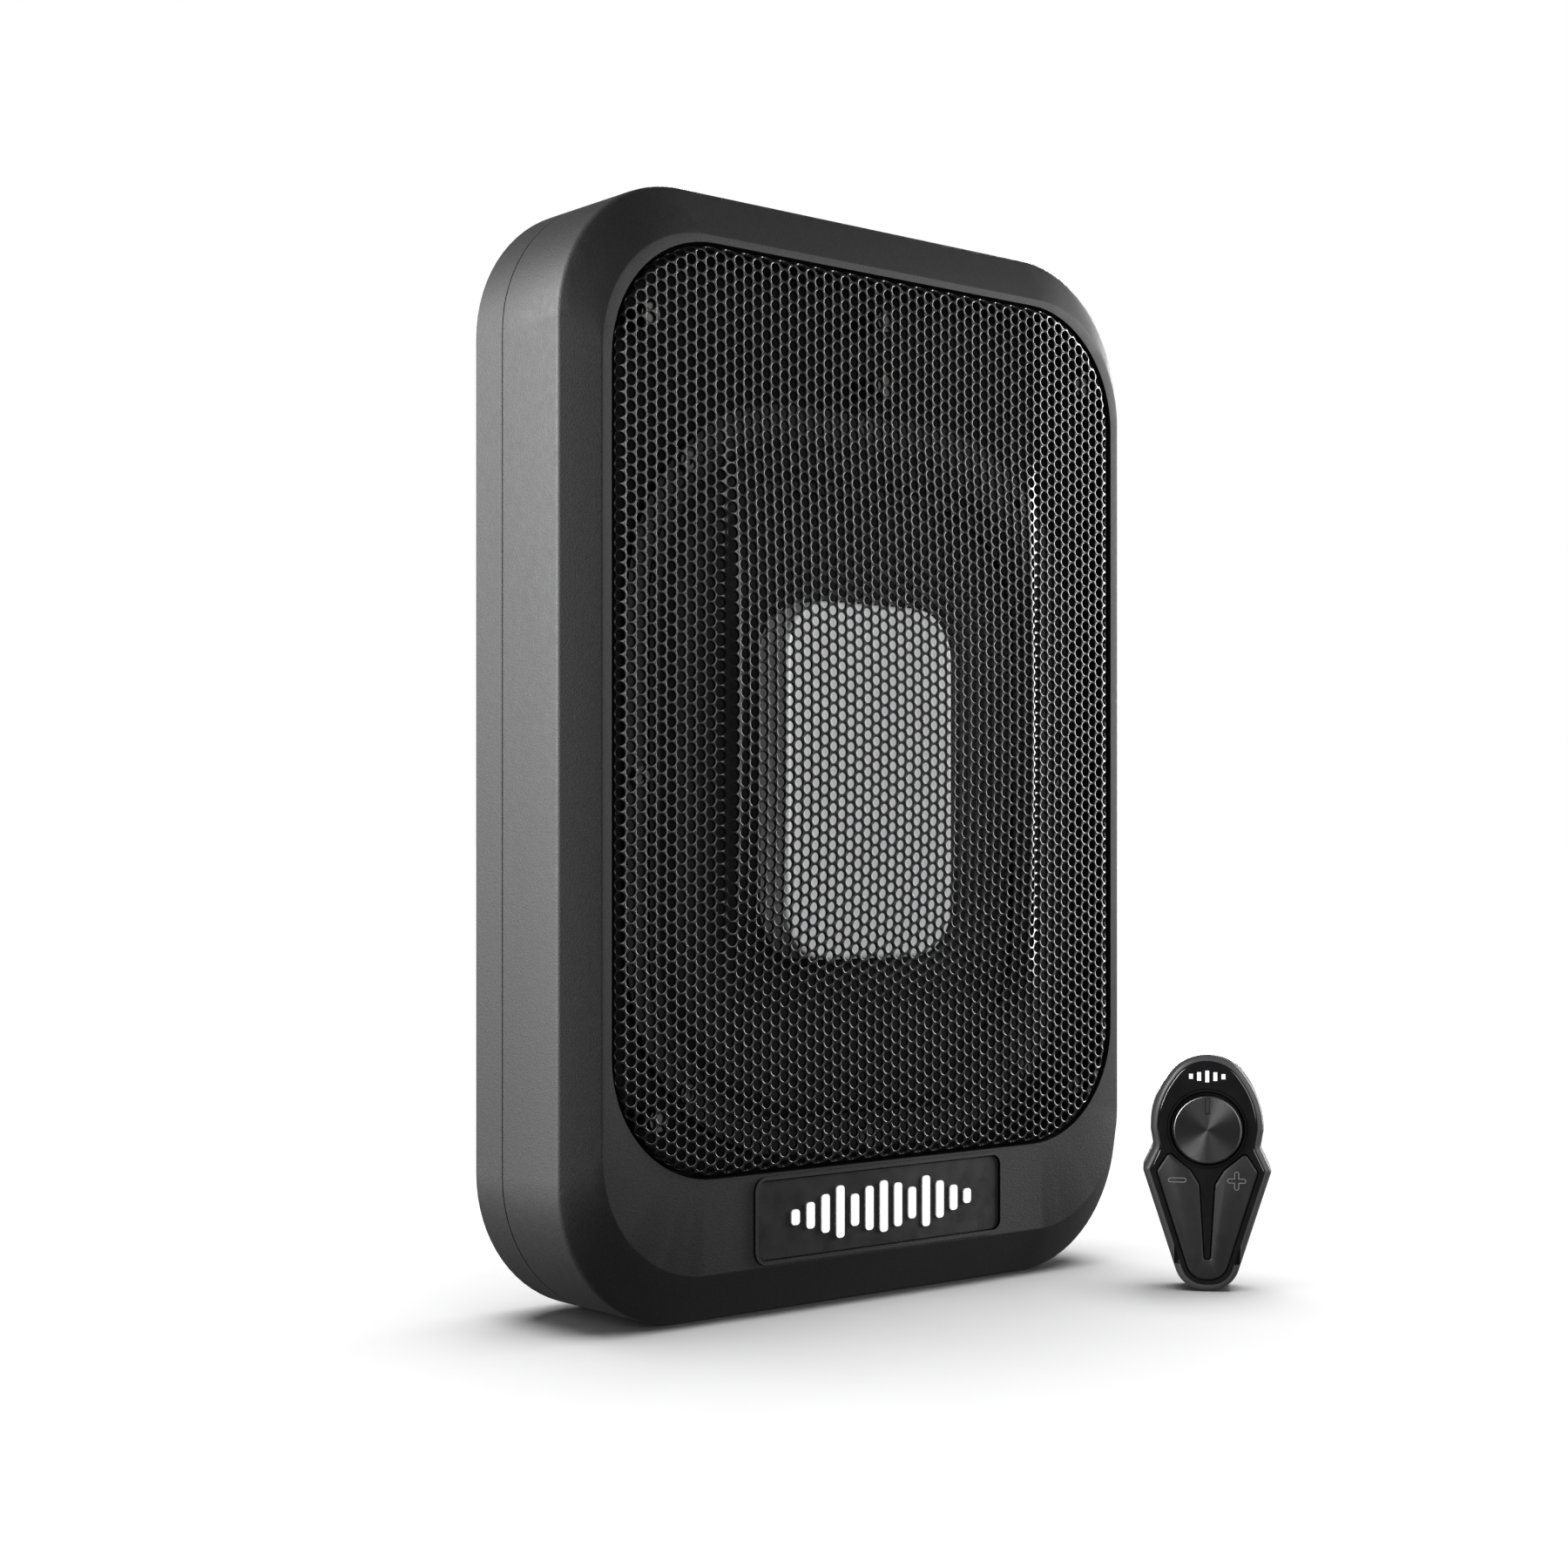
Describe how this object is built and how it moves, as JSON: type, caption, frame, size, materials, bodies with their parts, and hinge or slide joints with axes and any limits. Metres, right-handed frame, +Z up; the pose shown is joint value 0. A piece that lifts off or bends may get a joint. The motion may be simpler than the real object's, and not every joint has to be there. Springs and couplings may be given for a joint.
{
  "type": "powered car subwoofer",
  "caption": "Slim powered car subwoofer: two-part black housing, bowed perforated grille over an oblong driver, amplifier panel in one end, and a small level remote beside it.",
  "frame": {"origin": "middle of the flat short end that the cabinet stands on", "axes": "+Z up along the cabinet's height, +X to the right seen from the grille side, +Y from the grille to the back"},
  "size_m": [0.248, 0.1428, 0.358],
  "materials": {
    "shell_coat": "fine-textured matte black coat",
    "grille_coat": "satin black powder coat",
    "badge_panel": "satin moulded black",
    "silver_print": "bright silver",
    "plated_steel": "zinc-plated",
    "black_screw": "black oxide",
    "rubber_black": "matte",
    "basket_steel": "black enamel",
    "cone_black": "pressed fibre, black",
    "cone_silver": "satin silver",
    "coil_former": "thin foil",
    "copper_wire": "enamelled copper winding",
    "spider_cloth": "resin-stiffened woven cloth",
    "ferrite": "sintered ferrite",
    "circuit_board": "solder-masked glass laminate",
    "can_sleeve": "shrink sleeve",
    "black_resin": "moulded",
    "bare_aluminium": "mill finish",
    "panel_black": "satin black",
    "nickel": "nickel-plated",
    "fuse_resin": "tinted translucent",
    "led_lens": "diffused",
    "insert_brass": "knurled",
    "remote_satin": "satin",
    "remote_gloss": "piano black",
    "knob_metal": "spun, anodised black",
    "rocker_pad": "fine-grained soft touch"
  },
  "bodies": {
    "cabinet": {"front_shell": "shell_coat", "rear_shell": "shell_coat", "seam_gasket": "rubber_black", "shell_screws": "black_screw", "grille": "grille_coat", "grille_posts": "plated_steel", "badge_plate": "badge_panel", "badge_mark": "silver_print", "driver_gasket": "rubber_black", "driver_basket": "basket_steel", "driver_screws": "plated_steel", "surround": "rubber_black", "spider": "spider_cloth", "top_plate": "plated_steel", "magnet": "ferrite", "yoke": "plated_steel", "driver_terminals": "black_resin", "amp_board": "circuit_board", "board_standoffs": "plated_steel", "board_screws": "plated_steel", "toroid_choke": "copper_wire", "capacitors": "can_sleeve", "supply_transformer": "ferrite", "output_transistors": "black_resin", "heat_spreader": "bare_aluminium", "control_panel": "panel_black", "panel_screws": "plated_steel", "power_socket": "black_resin", "high_level_socket": "black_resin", "remote_port": "black_resin", "fuse_holder": "black_resin", "blade_fuse": "fuse_resin", "rca_sockets": "nickel", "pot_bodies": "black_resin", "phase_switch_body": "black_resin", "power_led": "led_lens", "threaded_inserts": "insert_brass", "rear_feet": "rubber_black"},
    "cone": {"cone": "cone_black", "cone_plate": "cone_silver", "voice_coil_former": "coil_former", "voice_coil": "copper_wire"},
    "gain_knob": {"gain_knob": "black_resin"},
    "lowpass_knob": {"lowpass_knob": "black_resin"},
    "boost_knob": {"boost_knob": "black_resin"},
    "phase_slider": {"phase_slider": "black_resin"},
    "remote": {"remote_back_shell": "remote_satin", "remote_front_shell": "remote_satin", "remote_faceplate": "remote_gloss", "remote_knob_ring": "remote_gloss", "remote_encoder": "black_resin", "remote_board": "circuit_board", "remote_switches": "black_resin", "remote_jack": "black_resin", "remote_screws": "black_screw", "remote_mark": "silver_print"},
    "remote_knob": {"remote_knob": "knob_metal"},
    "remote_rocker": {"remote_rocker": "rocker_pad"}
  },
  "joints": [
    {"name": "cone_excursion", "type": "slide", "parent": "cabinet", "child": "cone", "axis": [0, -1, 0], "range_m": [-0.004, 0.004], "stiffness_N_per_m": 3000, "deforming": ["surround", "spider"]},
    {"name": "gain_knob_turn", "type": "hinge", "parent": "cabinet", "child": "gain_knob", "pos_m": [0.043, 0.022, 0.351], "axis": [0, 0, 1], "range_deg": [-135, 135]},
    {"name": "lowpass_knob_turn", "type": "hinge", "parent": "cabinet", "child": "lowpass_knob", "pos_m": [0.055, 0.022, 0.351], "axis": [0, 0, 1], "range_deg": [-135, 135]},
    {"name": "boost_knob_turn", "type": "hinge", "parent": "cabinet", "child": "boost_knob", "pos_m": [0.067, 0.022, 0.351], "axis": [0, 0, 1], "range_deg": [-135, 135]},
    {"name": "phase_slide", "type": "slide", "parent": "cabinet", "child": "phase_slider", "axis": [1, 0, 0], "range_m": [0, 0.003]},
    {"name": "remote_lift", "type": "slide", "parent": "cabinet", "child": "remote", "axis": [0, 0, 1], "range_m": [0, 0.3]},
    {"name": "remote_knob_turn", "type": "hinge", "parent": "remote", "child": "remote_knob", "pos_m": [0.09196, -0.09129, 0.055], "axis": [-0.749, -0.6626, 0], "range_deg": [-140, 140]},
    {"name": "remote_rocker_tilt", "type": "hinge", "parent": "remote", "child": "remote_rocker", "pos_m": [0.09563, -0.08804, 0.025], "axis": [0, 0, 1], "range_deg": [-2.5, 2.5], "stiffness_Nm_per_rad": 0.6}
  ]
}
